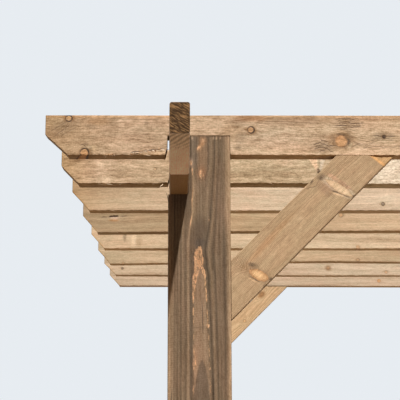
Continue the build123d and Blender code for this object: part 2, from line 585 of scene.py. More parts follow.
# The looks in which finishes differ: turns are per metre, and the others are lengths, amounts and colours
PLAIN_WOOD = dict(
    sway=24 * MM, ripple=5 * MM, swell=1.6, ring=4.2 * MM, late=0.35, gather=0.45, checks=0.80,
    fibre_turns=(20.0, 700.0), fibre=0.4, dashes=1.2, fuzz=0.85, flecks=1.3, blotch=0.45, streak=0.65,
    warmth=0.22, saw=0.03, saw_turns=1500.0, relief=0.55, knot_rim=0.45, halo=0.6,
    early_colour=colour(1.08, 1.08, 1.07), late_colour=colour(0.66, 0.60, 0.52),
    heart_colour=colour(0.72, 0.45, 0.27), heart_deep=colour(0.46, 0.25, 0.135),
    dark_colour=colour(0.16, 0.10, 0.055), halo_shade=colour(0.72, 0.62, 0.50),
    knot_colour=colour(0.66, 0.36, 0.165), knot_deep=colour(0.44, 0.20, 0.08),
    bark_colour=colour(0.085, 0.048, 0.028),
    end_colour=colour(0.35, 0.185, 0.072), end_deep=colour(0.050, 0.022, 0.005),
)


def wood(name, **changes):
    """A sawn wood finish. The tone of the skin is its plain colour, and all else varies or covers that."""
    look = SimpleNamespace(**{**PLAIN_WOOD, **changes})
    f = Finish(bpy.data.materials.new(name))
    grain, along, _, up = f.field("grain")
    knot, knot_along, _, knot_up = f.field("knot")
    _, knot_radius, knot_bark, knot_core = f.field("look")
    _, cut, streak_place, _ = f.field("cut")
    _, figure, heart, dark = f.field("marks")
    _, line_away, line_strength, line_width = f.field("line")
    tone, _, _, _ = f.field("tone")

    ragged = f.noise(grain, 110.0, 110.0)
    flecks = f.noise(grain, 34.0, 140.0, 3.0, 0.6)
    dashes = f.noise(grain, 80.0, 300.0, 2.0, 0.6)
    fuzz = f.noise(grain, 210.0, 330.0, 2.0, 0.6)
    fibre = f.noise(grain, *look.fibre_turns)
    blotch = f.noise(grain, 4.0, 16.0, 3.0)
    streak = f.noise(grain, 1.3, 75.0, 3.0, 0.6)
    warmth = f.noise(grain, 9.0, 34.0, 3.0, 0.6)
    spots = f.noise(grain, 120.0, 230.0, 3.0, 0.7)
    saw = f.math("SINE", f.times(f.scaled(up, 0.12, along), look.saw_turns))
    saw = f.times(saw, f.step(blotch, 0.45, 0.7))

    # Distance from the nearest knot, in knot radii, and the swelling of the rings around it
    spread = f.wave(ragged, 0.34, f.length(knot))
    around = f.length(knot, (0.42, 1.0, 1.0))
    swell = f.math("POWER", f.scaled(around, around, 1.0), -1.5)
    late = growth_rings(f, grain, f.times(f.times(swell, knot_radius), look.swell), look)
    shown = f.math("ADD", f.scaled(swell, look.gather, look.late), figure)
    late = f.times(late, shown, clamp=True)

    # Sound wood, heartwood, soil and checks
    body = f.mix(late, look.early_colour, look.late_colour)
    body = f.mix(1.0, body, tone, "MULTIPLY")
    heartwood = f.mix(f.step(spots, 0.34, 0.6), look.heart_deep, look.heart_colour)
    body = f.mix(f.step(f.wave(flecks, 0.9, heart), 0.35, 0.65), body, heartwood)
    checks = f.step(f.noise(grain, 2.6, 210.0, 1.0), look.checks, look.checks + 0.04)
    soil = f.math("MAXIMUM", f.times(dark, f.wave(dashes, 2.4, 0.75)), f.times(checks, 0.8))
    body = f.mix(f.times(soil, 1.0, clamp=True), body, look.dark_colour)

    # Knots: a ring of bark, fainter on one side, around orange wood with fine rings and a crack or two
    knot_rings = f.math("SINE", f.times(f.times(spread, knot_radius), 2200.0))
    rimward = f.scaled(f.times(spread, spread), look.knot_rim, 0.06)
    rimward = f.scaled(knot_rings, 0.14, rimward, clamp=True)
    core = f.mix(rimward, look.knot_colour, look.knot_deep)
    split = f.step(f.noise(grain, 60.0, 420.0, 1.0), 0.66, 0.72)
    core = f.mix(f.times(split, 0.4), core, look.bark_colour)
    core = f.mix(knot_core, body, core)
    core = f.mix(f.times(knot_core, -1.0), core, look.bark_colour)
    halo = f.step(f.wave(flecks, 1.6, f.length(knot, (0.7, 1.0, 1.0))), 1.7, 0.95)
    halo = f.times(f.times(halo, look.halo), knot_bark, clamp=True)
    body = f.mix(halo, body, f.mix(1.0, body, look.halo_shade, "MULTIPLY"))
    body = f.mix(f.step(spread, 1.02, 0.9), body, core)
    bark = f.times(f.step(spread, 0.7, 0.92), f.step(spread, 1.34, 1.08))
    bark = f.times(bark, f.scaled(f.step(ragged, 0.38, 0.62), 0.5, 0.5))
    faint = f.step(f.scaled(knot_along, -0.5, knot_up), -0.2, 1.0)
    bark = f.times(bark, f.scaled(faint, -0.6, 1.0))
    bark = f.times(bark, knot_bark, clamp=True)
    body = f.mix(bark, body, look.bark_colour)

    # Cut faces: end grain with dark and light streaks
    across = {0: f.times(streak_place, 430.0), 1: f.times(up, 85.0), 2: 0.0}
    across = f.node("ShaderNodeCombineXYZ", across)
    lines = f.node("ShaderNodeTexNoise", {"Vector": across, "Scale": 1.0, "Detail": 3.0, "Roughness": 0.6})
    end = f.mix(f.step(lines, 0.46, 0.64), look.end_deep, look.end_colour)
    end = f.mix(f.times(f.step(spots, 0.45, 0.75), 0.5), end, look.end_deep)
    body = f.mix(cut, body, end)

    # Drawn lines have a ragged course. Everything is roughened by dashes, fuzz and fibres, which turn
    # redder as they darken
    line_away = f.math("ABSOLUTE", f.wave(ragged, 0.006, line_away))
    line = f.times(f.step(f.math("DIVIDE", line_away, line_width), 1.2, 0.5), line_strength)
    line = f.times(line, f.wave(dashes, 2.0, 1.0), clamp=True)
    body = f.mix(line, body, look.bark_colour)
    value = 1.0
    for noise, amount in (
        (fibre, look.fibre), (dashes, look.dashes), (fuzz, look.fuzz), (flecks, look.flecks),
        (blotch, look.blotch), (streak, look.streak),
    ):
        value = f.wave(noise, amount, value)
    value = f.scaled(saw, look.saw, value)
    value = f.math("MAXIMUM", value, 0.3)
    warmth = f.wave(warmth, look.warmth, 1.0)
    shade = {0: f.times(f.math("POWER", value, 0.88), warmth), 1: value, 2: f.math("POWER", value, 1.18)}
    body = f.mix(1.0, body, f.node("ShaderNodeCombineXYZ", shade), "MULTIPLY")

    # Relief: late wood, fuzz and fibres stand up, while bark and lines are sunk
    height = f.scaled(late, 0.5, f.times(fuzz, 0.9))
    height = f.scaled(dashes, 0.9, height)
    height = f.scaled(fibre, 0.6, height)
    height = f.scaled(saw, 0.12, height)
    height = f.minus(height, f.math("MAXIMUM", bark, f.times(line, 1.5)))
    bump = f.node("ShaderNodeBump", {"Strength": look.relief, "Distance": 0.0009, "Height": height})
    rough = f.scaled(value, -0.12, 0.95, clamp=True)
    inputs = {"Base Color": body, "Roughness": rough, "Specular IOR Level": 0.25, "Normal": bump}
    return f.finish(f.node("ShaderNodeBsdfPrincipled", inputs))


def galvanised_steel():
    """Dull zinc on screw heads, with a mottle in its shine."""
    f = Finish(bpy.data.materials.new("galvanised_steel"))
    mottle = f.noise(f.node("ShaderNodeTexCoord", {}, "Object"), 900.0, 900.0, 3.0)
    shade = f.mix(mottle, colour(0.30, 0.29, 0.27), colour(0.56, 0.55, 0.52))
    inputs = {"Base Color": shade, "Metallic": 1.0, "Roughness": f.scaled(mottle, 0.3, 0.35)}
    return f.finish(f.node("ShaderNodeBsdfPrincipled", inputs))


FINISHES = {
    "post_timber": wood(
        "post_wood",
        ring=4.5 * MM, late=0.2, fibre_turns=(4.0, 280.0), fibre=0.8, dashes=0.65, fuzz=0.7, flecks=0.55,
        streak=0.6, saw=0.06, checks=0.74, relief=0.7,
        heart_colour=colour(0.82, 0.44, 0.22), heart_deep=colour(0.30, 0.18, 0.095),
        dark_colour=colour(0.07, 0.047, 0.03),
        early_colour=colour(1.06, 1.06, 1.06), late_colour=colour(0.66, 0.64, 0.6),
        knot_colour=colour(0.30, 0.15, 0.07), knot_deep=colour(0.16, 0.085, 0.045),
    ),
    "beam_timber": wood(
        "beam_wood",
        ring=3.8 * MM, fibre=0.2, dashes=0.4, fuzz=0.3, flecks=0.3, blotch=0.3, streak=0.25, warmth=0.08,
        checks=0.76,
    ),
    "rafter_timber": wood("rafter_wood"),
    "smooth_rafter_timber": wood(
        "smooth_rafter_wood",
        late=0.25, dashes=0.45, fuzz=0.4, flecks=0.45, blotch=0.5, streak=1.0,
    ),
    "brace_timber": wood(
        "brace_wood",
        ring=3.3 * MM, ripple=3 * MM, late=0.8, dashes=0.45, fuzz=0.5, flecks=0.5, blotch=0.35, streak=0.5,
        knot_colour=colour(0.92, 0.58, 0.285), knot_deep=colour(0.50, 0.235, 0.095), knot_rim=0.95,
    ),
    "fixings": galvanised_steel(),
}


def random_knots(timber, count, low, high, radii, faces):
    """Spread knots over a stretch of a timber, on the given faces."""
    random = np.random.default_rng(timber.seed + 9)
    for place in np.linspace(low, high, count) + random.uniform(-0.06, 0.06, count):
        face = faces[random.integers(len(faces))]
        part = random.uniform(0.12, 0.88)
        targets = {
            "front": (0.0, part * timber.depth),
            "back": (timber.thickness, part * timber.depth),
            "under": (part * timber.thickness, 0.0),
            "over": (part * timber.thickness, timber.depth),
        }
        radius = random.uniform(*radii)
        look = (random.uniform(0.2, 0.9), random.uniform(0.4, 1.0))
        timber.knots.append((place, targets[face], radius, look, random.uniform(-0.3, 0.3), None))


# Posts
POST_TONE = np.array((0.191, 0.1215, 0.069))
POST_PITH = (84, 76)
POST_FINE_FROM = 1.5

# Lines down the near post, in mm from its left side: middle, half width and how much lighter or darker
LEFT_LINES = (
    (4, 5, 0.8), (11.5, 2.2, 0.35), (19.5, 2, 0.15), (23, 1.8, -0.1), (26.5, 2, 0.25),
    (30.5, 1.8, -0.16), (35.3, 2.2, 0.28), (42, 2.5, -0.08), (54.5, 2.4, -0.18),
)

# The same right of the flame, in parts of the way from its right edge to the light band by the arris
RIGHT_LINES = (
    (0.12, 0.06, -0.36), (0.275, 0.05, 0.34), (0.435, 0.05, -0.26), (0.56, 0.04, 0.1),
    (0.66, 0.035, -0.1), (0.75, 0.035, 0.06), (0.9, 0.07, -0.24),
)
LIGHT_BAND = 140.0

# A light line above the flame, with orange wood beside it
BESIDE_HEIGHTS = (2140, 2165, 2188, 2211, 2241, 2265, 2330)
BESIDE = (48, 51.5, 54.5, 58, 57.8, 59.5, 57.5)
BESIDE_LEVELS = (0.45, 0.45, 0.5, 0.55, 0.5, 0.4, 0.15)

# Above the flame the lines to its right lean outwards, as does a light line
ABOVE_HEIGHTS = (2131, 2200, 2229, 2299, 2337, 2400)
ABOVE_RIGHT = (84.0, 96.0, 98.3, 104.1, 107.0, 108.4)
ABOVE_LIGHT = (82.0, 89.0, 92.3, 98.6, 103.7, 104.5)

# The flame of heartwood: heights in mm from the ground, and in mm from the left side its outer left, outer
# right, inner left and inner right edges
FLAME_HEIGHTS = (1766, 1933, 2009, 2032, 2055, 2066, 2080, 2087, 2097, 2106, 2120, 2131)
FLAME_RIGHT = (103.0, 96.5, 93.4, 91.0, 90.7, 89.0, 84.6, 85.3, 84.5, 82.5, 82.0, 77.5)
FLAME_EDGES = (
    (59.5, 59.4, 58.3, 58.3, 58.3, 61.5, 63.5, 62.5, 61.5, 61.5, 66.0, 77.5),
    FLAME_RIGHT,
    (61.2, 61.2, 62.4, 66.0, 69.0, 73.0, 77.0, 77.5, 77.5, 77.5, 77.5, 77.5),
    (100.8, 94.2, 90.0, 87.8, 85.3, 81.0, 78.0, 77.5, 77.5, 77.5, 77.5, 77.5),
)
FLAME_LEVEL = 1934.0


def near_post_lines(post):
    """Light and dark lines down the front face of the near post, which bend round the flame."""
    height = post.along / MM
    across = post.up / MM + 0.9 * wander(post.along, 0.9, 71)
    edge = np.interp(height, FLAME_HEIGHTS[:-1] + ABOVE_HEIGHTS, FLAME_RIGHT[:-1] + ABOVE_RIGHT)
    part = (across - edge) / (LIGHT_BAND - edge)
    above = np.interp(height, (2220, 2310), (1.0, 0.65))
    lines = 0.0 * across
    for seed, table, place, fading in ((20, LEFT_LINES, across, 1.0), (40, RIGHT_LINES, part, above)):
        for number, (middle, width, level) in enumerate(table):
            level = level * (0.85 + 0.3 * wander(post.along, 0.25, seed + number)) * fading
            lines += level * bump_at(place, middle, width)
    lines += 0.95 * bump_at(across, 147.0, 6.0)
    lines += 0.4 * bump_at(across, 138.0, 4.0) * smooth(height, 2120, 2230)
    beside = np.interp(height, BESIDE_HEIGHTS, BESIDE)
    lines += np.interp(height, BESIDE_HEIGHTS, BESIDE_LEVELS) * bump_at(across, beside, 2.6)
    light = np.interp(height, ABOVE_HEIGHTS, ABOVE_LIGHT)
    lines += 0.2 * bump_at(across, light, 3.0) * smooth(height, 2180, 2220)
    fading = np.exp(-np.clip(across - beside, 0, None) / 9) * (across > beside)
    lines += fading * np.interp(height, (2150, 2200, 2260, 2330), (0.0, 0.6, 0.5, 0.3))
    post.tint(post.front * smooth(height, 2270, 2300), (0.96, 0.965, 0.95))
    lines = np.where(lines > 0.0, 1.45 * lines, 1.6 * lines)
    post.tone *= 0.97 + (post.front * np.clip(lines, -0.65, 1.5))[:, None]

    # Two thin orange lines above the flame
    for middle, width, ends, base, swing, wavelength, seed in (
        (beside, 2.0, (2150, 2175, 2335, 2315), 0.55, 0.3, 0.05, 73),
        (98.0, 1.8, (2130, 2150, 2275, 2255), 0.25, 0.32, 0.06, 74),
    ):
        reach = smooth(height, *ends[:2]) * smooth(height, *ends[2:])
        level = base + swing * wander(post.along, wavelength, seed)
        post.mark(HEART, post.front * reach * level * bump_at(across, middle, width))


def near_post_flame(post):
    """The flame: bright down to its fork, then two orange rims with pinkish wood between them."""
    height = post.along / MM
    across = post.up / MM + 0.7 * wander(post.along, 0.03, 75) + 0.5 * wander(post.along, 0.011, 76)
    left, right, inner_left, inner_right = (np.interp(height, FLAME_HEIGHTS, edge) for edge in FLAME_EDGES)
    below = smooth(height, 2132, 2128)
    inside = smooth(np.minimum(across - left, right - across), -0.6, 1.0) * below
    between = smooth(np.minimum(across - inner_left, inner_right - across), -0.6, 1.2) * below
    rims = post.front * inside * (1.0 - between)
    low = 0.62 + 0.3 * wander(post.along, 0.04, 77)
    post.mark(HEART, rims * (np.interp(height, (1990, 2030), (0.0, 1.0)) * (1.0 - low) + low))
    post.mark(DARK, 0.2 * rims)
    shade = np.interp(height, (1766, FLAME_LEVEL - 1, FLAME_LEVEL + 1, 2082), (1.56, 1.64, 1.66, 1.54))
    post.tone *= 1.0 + (post.front * between * (shade - 1.0))[:, None] * np.array([1.0, 0.92, 0.94])

    # A dark arch inside its foot, a level line across it and dark edges outside
    arch = np.interp(height, (1766, 1776, 1814, 1845, 1862), (1.0, 0.95, 0.72, 0.4, 0.0))
    middle = np.interp(height, (1766, 1862), (80.0, 81.0))
    arch = smooth(20.0 * arch - np.abs(across - middle), -1.0, 2.0) * (height < 1862)
    post.tint(post.front * arch, (0.58, 0.60, 0.63))
    post.mark(DARK, 0.4 * post.front * bump_at(height, FLAME_LEVEL, 2.0) * between)
    post.tint(post.front * bump_at(left - across, 3.6, 2.0) * below, (0.8, 0.82, 0.86))
    for away, seed in ((left - across, 81), (across - right, 82)):
        broken = np.clip(0.25 + wander(post.along, 0.018, seed), 0.0, 1.0) * smooth(height, 1990, 2030)
        post.mark(DARK, post.front * broken * bump_at(away, 1.1, 1.7) * below)


def near_post_marks(post):
    """Marks on the front face of the near post: orange patches on the tongue, a dark cap, painted shade
    under the beam and a ragged top.
    """
    post.mark_patches(
        HEART,
        (2389, 83, 10, 7.5, 0, 0.38), (2371, 74, 13, 4.5, 37, 0.5), (2355, 87.5, 26, 3, 0, 0.34),
        (2305, 80, 15, 9.5, 0, 0.5), (2333, 55.5, 9, 3.5, 0, 0.5), (1938, 94, 5, 5, 30, 0.7),
        (1858, 64, 30, 4, -6, 0.5),
    )
    post.tint_patches(
        (2371, 75, 15, 6, 37, 1.45, 1.32, 1.2),
        (2389, 84, 12, 9, 0, 1.35, 1.2, 1.1),
        (2307, 80, 17, 12, 0, 1.12, 0.98, 0.92),
        (2345, 84, 50, 11, 0, 1.28, 1.18, 1.12),
        (2333, 55, 9, 4, 0, 2.2, 2.1, 2.2),
        (2315, 57.5, 5, 3, 0, 1.9, 1.95, 2.1),
        (2360, 62, 44, 9, 0, 0.9, 0.96, 1.08),
        (2160, 76, 40, 18, 0, 0.76, 0.78, 0.82),
        (2136, 76, 10, 14, 0, 0.8, 0.84, 0.92),
        (1855, 65, 36, 5.5, 0, 1.25, 1.2, 1.2),
    )
    post.draw(
        (1.4, 0.4, 8, (2284, 81), (2295, 75), (2317, 70), (2340, 65.5), (2365, 66.7), (2400, 69)),
        (1.6, 0.5, 8, (2284, 81), (2292, 89), (2312, 94), (2350, 96.5), (2400, 96)),
        (1.1, 0.25, 8, (2262, 80), (2279, 70), (2300, 64), (2330, 61)),
        (1.2, 0.25, 8, (2262, 82), (2276, 92), (2300, 99), (2350, 102)),
    )
    # Painted shade: the face darkens up to the underside of the beam, on the side where the beam's shadow
    # falls
    painted_shade_under_beam = smooth(post.along, 2.185, 2.255) * smooth(post.up, 58 * MM, 40 * MM)
    post.tint(post.front * painted_shade_under_beam, (0.52, 0.52, 0.55))
    top = 0.05 + 0.5 * wander(post.up, 0.02, 78)
    rim = smooth(post.along, POST_TOP - 6 * MM, POST_TOP - 1 * MM)
    post.mark(DARK, post.front * np.clip(top, 0.0, 1.0) * rim)
    post.tint_patches(*((2396, across, 4, 2.2, 0, 2.2, 2.2, 2.3) for across in (57, 110, 117, 126)))


def posts():
    """Four posts with their housed heads. The near one has finer stations for its marks."""
    places = [(0.0, 0.0), (END_EASE, 0.0), (POST_FINE_FROM, 0.0), (SHOULDER - STEP_WIDTH, 0.0)]
    places += [(SHOULDER, HOUSING), (POST_TOP - END_EASE, HOUSING), (POST_TOP, HOUSING)]
    for side_x, side_y, corner in CORNERS:
        near = corner == "front_left"
        seed = 11 + 3 * (side_x + 1) + 9 * (side_y + 1)
        axes = ((0, 0, 1), (0, -side_y, 0), (-side_x, 0, 0))
        origin = (side_x * -POST_LOW[0], side_y * POST_OUTER, 0.0)
        rows = station_rows(places, 22 * MM, 5 * MM if near else None, (POST_FINE_FROM, POST_TOP))
        node = f"post_{corner}"
        size = (POST_SIZE, POST_SIZE)
        inner = (22, 88 if near else 22)
        post = Timber(node, "post_timber", origin, axes, size, rows, POST_ARRIS, inner, seed, POST_PITH)
        warmth = 1.0 + 0.12 * np.random.default_rng(seed).uniform(-1.0, 1.0)
        plain = POST_TONE if near else POST_TONE * warmth
        post.paint((0.0, *0.72 * POST_TONE), (0.12, *plain), (POST_TOP, *plain))
        random_knots(post, 5, 0.35, 2.0, (9 * MM, 17 * MM), ("back", "over", "under"))
        if near:
            near_post_lines(post)
            near_post_flame(post)
            near_post_marks(post)
        else:
            random_knots(post, 3, 0.5, 1.9, (8 * MM, 13 * MM), ("front",))
        post.build()


# Beams
BEAM_TONE = (0.31, 0.195, 0.108)
# The splay's tone is pale cut wood made paler by painted bounce light, as it faces down out of the lamp
BEAM_SPLAY_TONE_WITH_BOUNCE = (1.03, 0.82, 0.625)
BEAM_PITH = (100, 30)
BEAM_DRIFT = 4.3 * MM


def beams():
    """Two side beams. Their end grain has dark diagonal streaks, and the near one drifts in at its end."""
    run, drop = BEAM_SPLAY
    places = [(0.0, drop), (END_EASE, drop * (1.0 - END_EASE / run)), (run, 0.0)]
    rows = station_rows(both_ends(places, 2.0 * BEAM_HALF), 12 * MM, 2 * MM, (0.0, run))
    for side_x, hand in HANDS:
        axes = ((0, 1, 0), (-side_x, 0, 0), (0, 0, 1))
        origin = (side_x * BEAM_OUTER, -BEAM_HALF, SHOULDER)
        node = f"beam_{hand}"
        size = (BEAM_THICKNESS, BEAM_DEPTH)
        seed = 41 + side_x
        beam = Timber(node, "beam_timber", origin, axes, size, rows, BEAM_ARRIS, (24, 24), seed, BEAM_PITH)
        beam.paint((0.0, *BEAM_TONE))
        # Painted shade on the underside, dark and warm, and a top greyed by sun and rain and darkened against
        # the lamp
        beam.paint_light_under_and_top((0.82, 0.69, 0.44), (0.85, 0.88, 0.95))

        # The splay is cut across the grain: pale, and paler still with painted bounce light, with streaks
        # that turn back and fade below its top
        on_splay = beam.cut_under(4 * MM)
        beam.tone[on_splay] = BEAM_SPLAY_TONE_WITH_BOUNCE
        fading = smooth(beam.foot, 0.45 * drop, 0.9 * drop)
        across = (0.4 * beam.out - 0.91 * beam.up) / (6.2 * MM)
        streaks = np.sin(2.0 * np.pi * (across + 0.15 * wander(beam.along, 0.02, 61)))
        beam.tint(on_splay * fading * (0.5 + 0.5 * streaks), (0.54, 0.51, 0.47))
        middle = bump_at(beam.up, 26 * MM, 20 * MM) * smooth(beam.out, 10 * MM, 40 * MM)
        beam.tint(on_splay * middle, (1.0, 0.94, 0.92))
        bow = bump_at(beam.up - 0.9 * beam.out, -12 * MM, 7 * MM)
        beam.tint(on_splay * bow * (1.0 - fading), (1.1, 1.09, 1.1))
        overhang = BEAM_HALF - POST_OUTER
        beam.moved[1] += BEAM_DRIFT * np.clip((overhang - beam.along) / overhang, 0.0, 1.0) ** 1.5
        random_knots(beam, 9, 0.15, 2.8, (6 * MM, 14 * MM), ("front", "back", "under"))
        beam.build()


# Rafters: splays in mm, cut by eye, with how much short of the full length they start, then their run and
# drop and how far out of square they are; the pith in mm; how pale the painted shade and bounce light leave
# the underside; how far apart in mm the stations are where it shows, fine where small marks are; lifts of
# the lower edge at places in mm; tones at places in metres; knots in mm with place, height and radius, then
# bark, core and perhaps a start and a lean of their own
RAFTERS = {
    1: SimpleNamespace(
        splay=(0.5, 55.5, 51, 2.8), pith=(95, -25), under=1.0, step=4, lifts=((0, 0),),
        tones=(
            (0.0, 0.41, 0.252, 0.128), (0.08, 0.46, 0.295, 0.165), (0.2, 0.54, 0.36, 0.22),
            (0.5, 0.56, 0.38, 0.235), (0.75, 0.60, 0.41, 0.252), (1.0, 0.56, 0.375, 0.22),
        ),
        knots=(
            (57, 91.5, 7.5, 1.8, 0.15), (96.5, 5.5, 10.5, 1.1, 1.0, -90, -0.25), (501, 63, 8, 1.7, 0.8),
            (720, 35, 15.5, 0.4, 1.0), (825, 46.4, 4, 1.4, -1.0),
        ),
    ),
    2: SimpleNamespace(
        splay=(3.5, 48, 55, 1.0), pith=(120, 30), under=0.95, step=3.4,
        lifts=((50, 4.6), (240, 4.0), (268, 4.1), (276, 5.8), (289, 5.4), (297, 4.3), (515, 4.8), (900, 2.4)),
        tones=(
            (0.0, 0.50, 0.31, 0.15), (0.1, 0.55, 0.37, 0.225), (0.5, 0.57, 0.41, 0.245),
            (0.75, 0.59, 0.43, 0.265), (0.86, 0.80, 0.65, 0.48), (1.1, 0.80, 0.65, 0.48),
        ),
        knots=((258, 44, 4, 0.5, 0.3),),
    ),
    3: SimpleNamespace(
        splay=(0, 52, 56, 5.0), pith=(-60, -50), under=1.1, step=6, lifts=((0, 0),),
        tones=(
            (0.0, 0.49, 0.31, 0.16), (0.1, 0.54, 0.37, 0.22), (0.6, 0.68, 0.505, 0.34),
            (1.0, 0.705, 0.53, 0.37),
        ),
        knots=((932, 20, 5, 1.0, -0.6),),
    ),
    4: SimpleNamespace(
        splay=(2, 48, 50, 5.0), pith=(90, 120), under=1.2, step=4,
        lifts=((110, -5.0), (210, -4.0), (540, -1.6), (900, 0.0)),
        tones=((0.0, 0.41, 0.28, 0.16), (0.5, 0.49, 0.335, 0.19), (1.0, 0.59, 0.41, 0.25)),
        knots=((850, 53, 7, 0.5, 0.6),),
    ),
    5: SimpleNamespace(
        splay=(2, 46, 50, 5.0), pith=(-70, 150), under=1.35, step=4,
        lifts=((0, -1.5), (1500, -1.5), (2500, 0.0)),
        tones=((0.0, 0.64, 0.45, 0.275), (0.5, 0.64, 0.47, 0.30), (1.0, 0.63, 0.465, 0.30)),
        knots=((953, 4, 8, 0.1, 0.6),),
    ),
    6: SimpleNamespace(
        splay=(0, 47, 50, 5.0), pith=(110, -10), under=1.35, step=7,
        lifts=((100, -3.4), (515, 2.7), (900, 5.5), (1500, 0.0)),
        tones=((0.0, 0.58, 0.42, 0.26), (0.4, 0.56, 0.395, 0.24), (1.0, 0.52, 0.36, 0.215)),
        knots=((97, 2, 5, 0.4, 0.5), (1001, 7, 6, 0.6, 0.4)),
    ),
    7: SimpleNamespace(
        splay=(0, 48, 50, 5.0), pith=(-80, 40), under=1.4, step=7,
        lifts=((100, 2.0), (900, -1.0), (1500, 0.0)),
        tones=((0.0, 0.59, 0.43, 0.28), (1.0, 0.605, 0.455, 0.31)),
        knots=((74.5, 28, 5, 0.6, -0.6), (926, 31, 6, 0.25, 0.4), (1166, 14, 6, 0.4, 0.6)),
    ),
    8: SimpleNamespace(
        splay=(0, 43, 51, 5.0), pith=(85, 130), under=1.4, step=8,
        lifts=((0, 3.5), (900, 2.0), (1500, 0.0)),
        tones=((0.0, 0.58, 0.42, 0.28), (1.0, 0.60, 0.44, 0.30)),
        knots=((1191, 24, 8, 0.15, 0.9),),
    ),
}
RAFTER_SHOWS_TO = 1.2
RAFTER_BOW = 2.0 * MM
RAFTER_SEATS = (RAFTER_HALF - BEAM_OUTER, RAFTER_HALF + BEAM_OUTER)
SEAT_WIDTH = 0.12

# The torn line of the front rafter: places and heights in mm
TORN_LINE = ((198, 3), (222, 8), (255, 12.5), (296, 17))

# A wedge of pinkish heartwood and a grey sliver beside it on the second rafter, all in mm: their left and
# right edges at the heights, and their shades
WEDGE_HEIGHTS = (32, 70, 94)
WEDGE = ((700, 677.5, 667), (704.5, 698.5, 696), (0.86, 0.575, 0.36))
SLIVER = ((703, 708, 711), (706, 720, 728), (0.68, 0.54, 0.385))


def rafter_seed(number):
    """The seed of everything random on one rafter."""
    return 100 + 17 * number


def rafter_bow(places, length, number):
    """How far a rafter bends sideways at the places: a long wavy line that is zero at its seats."""
    free = np.prod([1.0 - bump_at(places, seat, SEAT_WIDTH) for seat in RAFTER_SEATS], axis=0)
    return RAFTER_BOW * free * wander(places, length * 0.8, rafter_seed(number) + 3)


def rafter_rows(number):
    """Stations of a rafter: splayed ends, and notches over the beams or over beam and tongue."""
    over_posts = number in (1, RAFTER_COUNT)
    short, run, drop = (size * MM for size in RAFTERS[number].splay[:3])
    flare_run, flare_height = NOTCH_FLARE
    outer = RAFTER_HALF - BEAM_OUTER - NOTCH_PLAY
    inner = RAFTER_HALF - (POST_INNER if over_posts else BEAM_INNER) + NOTCH_FIT
    places = [(short, drop), (short + END_EASE, drop * (1.0 - END_EASE / run)), (short + run, 0.0)]
    places += [(outer - flare_run, 0.0), (outer, flare_height), (outer + STEP_WIDTH, NOTCH_DEPTH)]
    places += [(inner - STEP_WIDTH, NOTCH_DEPTH), (inner, 0.0), (RAFTER_SHOWS_TO, 0.0)]
    fine, stretch = RAFTERS[number].step * MM, (0.0, RAFTER_SHOWS_TO)
    return station_rows(both_ends(places, 2.0 * RAFTER_HALF), 14 * MM, fine, stretch)


